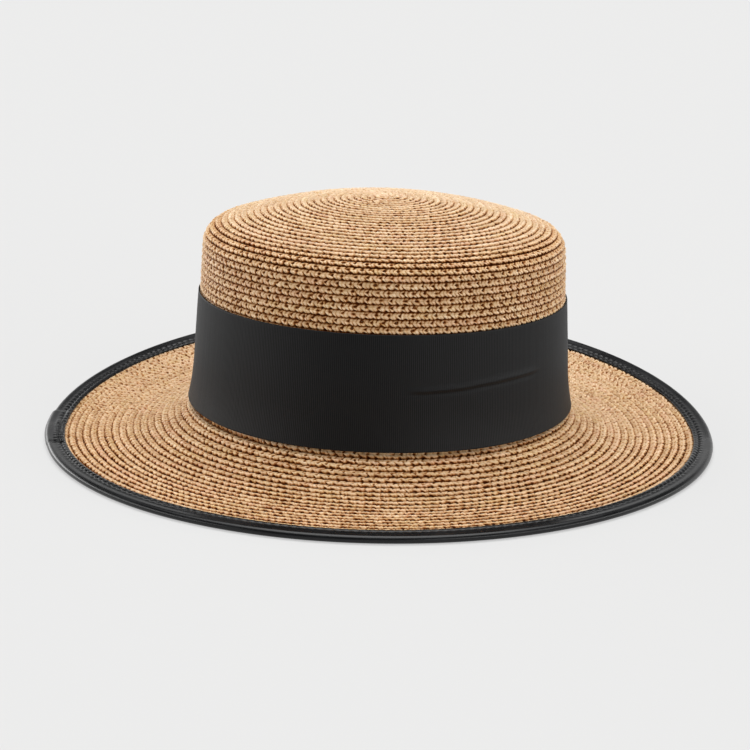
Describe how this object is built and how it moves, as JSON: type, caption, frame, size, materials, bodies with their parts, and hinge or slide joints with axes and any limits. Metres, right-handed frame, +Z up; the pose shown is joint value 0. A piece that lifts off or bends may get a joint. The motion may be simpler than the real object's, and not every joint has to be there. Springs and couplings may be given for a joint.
{
  "type": "straw sun hat",
  "caption": "Flat-top sun hat of spiral-sewn paper straw, with a wide ribbed ribbon, a bound and wired brim edge, and a corded inner sweatband.",
  "frame": {"origin": "on the crown's centre line, in the plane the brim rests on", "axes": "+Z up from the resting plane through the crown, -Y towards the front of the hat, +Y towards the back where ribbon and sweatband are joined"},
  "size_m": [0.3359, 0.332, 0.1206],
  "materials": {
    "paper_straw": "matte tan woven paper straw",
    "ribbon": "black ribbed ribbon with a soft satin sheen",
    "coated_leather": "satin black coated leather",
    "black_thread": "matte black sewing thread",
    "spring_steel": "drawn steel wire",
    "sweatband_tape": "tan woven tape",
    "cord": "tan twisted cord",
    "label": "blank off-white woven label"
  },
  "bodies": {
    "root": {"crown_tip": "paper_straw", "crown_side": "paper_straw", "brim": "paper_straw", "hatband_ribbon": "ribbon", "hatband_tack_upper": "black_thread", "hatband_tack_lower": "black_thread", "brim_binding": "coated_leather", "binding_lap": "coated_leather", "binding_stitching": "black_thread", "brim_wire": "spring_steel", "wire_ferrule": "spring_steel", "sweatband": "sweatband_tape", "sweatband_join_tape": "sweatband_tape", "sweatband_stitching": "black_thread", "sizing_cord": "cord", "size_label": "label", "care_label": "label"}
  },
  "joints": []
}
